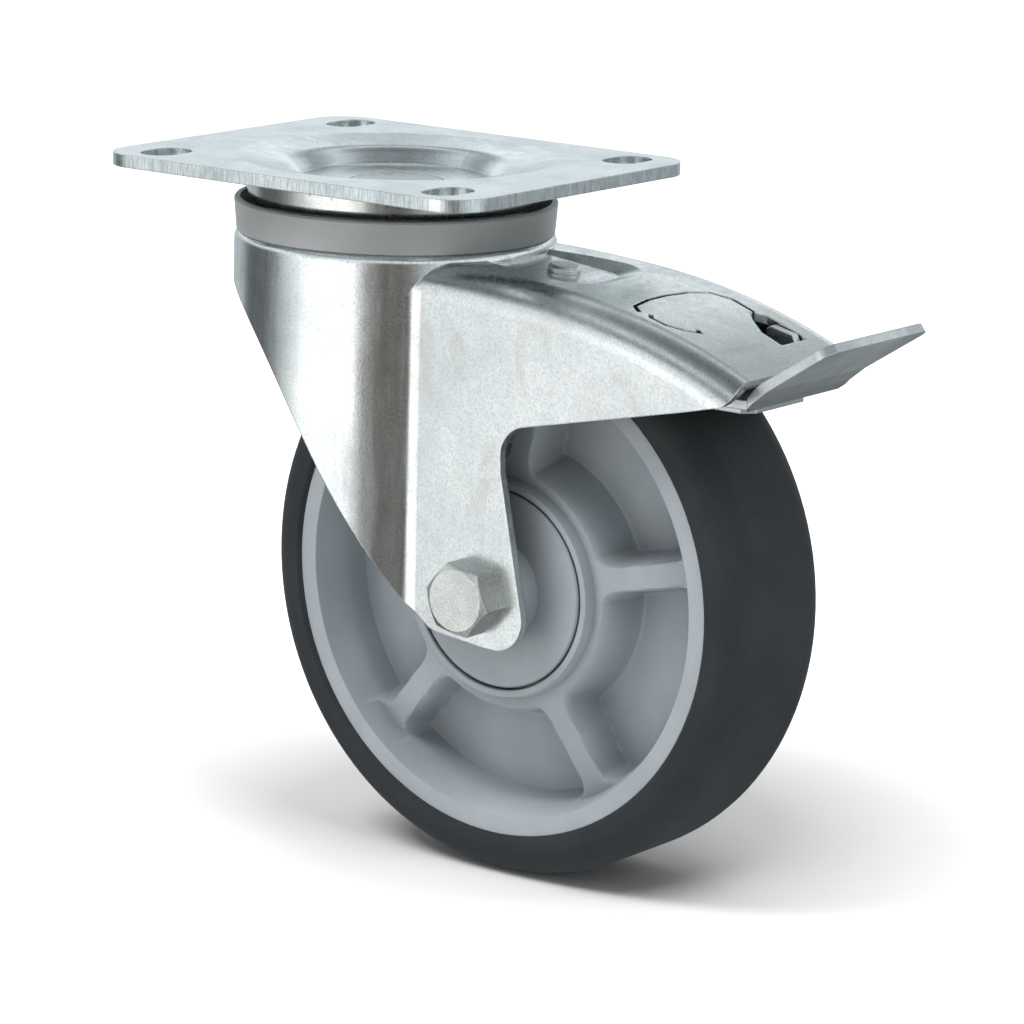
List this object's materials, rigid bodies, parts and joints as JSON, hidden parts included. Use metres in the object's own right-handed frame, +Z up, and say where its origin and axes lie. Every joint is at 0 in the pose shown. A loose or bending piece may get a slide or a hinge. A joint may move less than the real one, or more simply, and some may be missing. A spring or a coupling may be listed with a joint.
{
  "type": "swivel castor",
  "caption": "Swivel castor with a slotted mounting plate, a pressed fork, a ribbed wheel with a rubber tyre and a foot brake pedal.",
  "frame": {"origin": "centre of the four slots, on the top face of the mounting plate", "axes": "+Z up out of the plate, X along the wheel's axle, the wheel trails and the pedal points towards -Y"},
  "size_m": [0.1054, 0.2226, 0.19],
  "materials": {
    "zinc_plate": "bright zinc plate on pressed steel, faintly blue and mottled",
    "zinc_cup": "bright zinc plate on a pressed cup",
    "zinc_fork": "bright zinc plate on deep pressed sheet, rolled sheen",
    "zinc_pedal": "bright zinc plate with sheared edges",
    "bolt_zinc": "dull zinc plate on a forged bolt",
    "rivet_zinc": "zinc plated cold headed rivet",
    "pin_steel": "turned steel, lightly plated",
    "tube_steel": "ground steel tube",
    "race_steel": "hardened steel, greased",
    "ball_steel": "polished hardened steel",
    "cage_steel": "thin pressed steel",
    "spring_steel": "tempered spring steel, thin zinc plate",
    "grey_plastic_ring": "moulded mid grey plastic",
    "grey_plastic_guard": "moulded cool grey plastic",
    "grey_plastic_rim": "moulded cool grey plastic, satin",
    "tyre_rubber": "dark grey elastic rubber, matt"
  },
  "bodies": {
    "plate": {"top_plate": "zinc_plate", "head_cup": "zinc_cup", "king_pin": "pin_steel", "lower_cup": "race_steel", "lock_ring": "race_steel"},
    "upper_row": {"upper_balls": "ball_steel"},
    "lower_row": {"lower_balls": "ball_steel"},
    "fork": {"fork": "zinc_fork", "dust_ring": "grey_plastic_ring", "axle_bolt": "bolt_zinc", "axle_nut": "bolt_zinc", "axle_tube": "tube_steel", "thread_guards": "grey_plastic_guard", "bearing_inner_rings": "race_steel", "leaf_rivet": "rivet_zinc", "pedal_pin": "pin_steel"},
    "wheel": {"rim": "grey_plastic_rim", "tyre": "tyre_rubber", "bearing_outer_rings": "race_steel"},
    "bearing_set": {"bearing_balls": "ball_steel", "bearing_cages": "cage_steel"},
    "brake_leaf": {"brake_leaf": "spring_steel"},
    "pedal": {"pedal": "zinc_pedal"}
  },
  "joints": [
    {"name": "swivel", "type": "hinge", "parent": "plate", "child": "fork", "pos_m": [0, 0, -0.0199], "axis": [0, 0, 1], "continuous": true},
    {"name": "upper_roll", "type": "hinge", "parent": "plate", "child": "upper_row", "pos_m": [0, 0, -0.0165], "axis": [0, 0, 1], "continuous": true},
    {"name": "lower_roll", "type": "hinge", "parent": "plate", "child": "lower_row", "pos_m": [0, 0, -0.025], "axis": [0, 0, 1], "continuous": true},
    {"name": "spin", "type": "hinge", "parent": "fork", "child": "wheel", "pos_m": [0, -0.053, -0.11], "axis": [1, 0, 0], "continuous": true},
    {"name": "bearing_roll", "type": "hinge", "parent": "fork", "child": "bearing_set", "pos_m": [0, -0.053, -0.11], "axis": [1, 0, 0], "continuous": true},
    {"name": "pedal_press", "type": "hinge", "parent": "fork", "child": "pedal", "pos_m": [0, -0.1205, -0.0455], "axis": [1, 0, 0], "range_deg": [0, 12]},
    {"name": "leaf_press", "type": "hinge", "parent": "fork", "child": "brake_leaf", "pos_m": [0, -0.0528, -0.027], "axis": [1, 0, 0], "range_deg": [0, 1.45]}
  ],
  "couplings": [
    {"joint": "upper_roll", "follows": "swivel", "ratio": 0.5},
    {"joint": "lower_roll", "follows": "swivel", "ratio": 0.5},
    {"joint": "bearing_roll", "follows": "spin", "ratio": 0.6185},
    {"joint": "leaf_press", "follows": "pedal_press", "ratio": 0.12}
  ]
}
